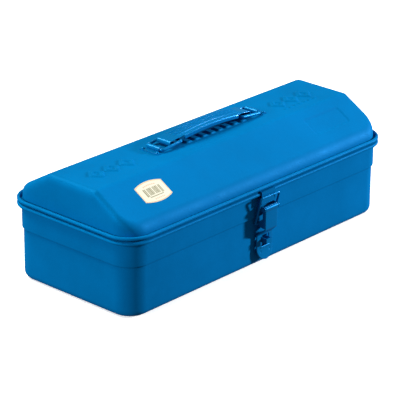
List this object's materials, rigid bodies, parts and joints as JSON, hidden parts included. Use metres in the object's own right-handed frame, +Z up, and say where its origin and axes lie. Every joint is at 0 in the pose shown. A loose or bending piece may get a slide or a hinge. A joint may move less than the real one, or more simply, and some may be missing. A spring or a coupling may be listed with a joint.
{
  "type": "metal tool box",
  "caption": "Pressed steel tool box with a camber-top lid on rear hinges, a front draw latch with a padlock hasp, and a fold-down handle.",
  "frame": {"origin": "middle of the flat underside, on the surface the box stands on", "axes": "+X along the box's length, -Y towards the latch, +Z up"},
  "size_m": [0.37, 0.1737, 0.127],
  "materials": {
    "enamel_shell": "satin blue enamel on pressed steel",
    "enamel_fittings": "satin blue enamel on formed steel",
    "label_paper": "cream coated paper sticker"
  },
  "bodies": {
    "body": {"body_shell": "enamel_shell", "hinge_leaf_body_left": "enamel_fittings", "hinge_leaf_body_right": "enamel_fittings", "hinge_pin_left": "enamel_fittings", "hinge_pin_right": "enamel_fittings", "latch_base_plate": "enamel_fittings", "latch_pivot_pin": "enamel_fittings", "padlock_staple": "enamel_fittings"},
    "lid": {"lid_shell": "enamel_shell", "hinge_leaf_lid_left": "enamel_fittings", "hinge_leaf_lid_right": "enamel_fittings", "latch_catch": "enamel_fittings", "handle_bracket_left": "enamel_fittings", "handle_bracket_right": "enamel_fittings", "handle_rivets": "enamel_fittings", "label": "label_paper"},
    "handle": {"handle_grip": "enamel_fittings"},
    "handle_link_l": {"handle_link_left": "enamel_fittings"},
    "handle_link_r": {"handle_link_right": "enamel_fittings"},
    "lever": {"latch_lever": "enamel_fittings"},
    "link": {"latch_link": "enamel_fittings"}
  },
  "joints": [
    {"name": "lid_hinge", "type": "hinge", "parent": "body", "child": "lid", "pos_m": [0, 0.084, 0.0773], "axis": [-1, 0, 0], "range_deg": [0, 105]},
    {"name": "handle_lift", "type": "slide", "parent": "lid", "child": "handle", "axis": [0, 0, 1], "range_m": [0, 0.0175]},
    {"name": "handle_link_left_turn", "type": "hinge", "parent": "lid", "child": "handle_link_l", "pos_m": [-0.069, 0, 0.117], "axis": [0, -1, 0], "range_deg": [0, 45.5]},
    {"name": "handle_link_right_turn", "type": "hinge", "parent": "lid", "child": "handle_link_r", "pos_m": [0.069, 0, 0.117], "axis": [0, 1, 0], "range_deg": [0, 45.5]},
    {"name": "latch_lever_turn", "type": "hinge", "parent": "body", "child": "lever", "pos_m": [0, -0.0845, 0.0605], "axis": [-1, 0, 0], "range_deg": [0, 130]},
    {"name": "latch_link_turn", "type": "hinge", "parent": "lever", "child": "link", "pos_m": [0, -0.077, 0.0445], "axis": [-1, 0, 0], "range_deg": [-130, 0]}
  ],
  "couplings": [
    {"joint": "handle_link_left_turn", "follows": "handle_lift", "rad_per_m": 45},
    {"joint": "handle_link_right_turn", "follows": "handle_lift", "rad_per_m": 45},
    {"joint": "latch_link_turn", "follows": "latch_lever_turn", "ratio": -1}
  ]
}
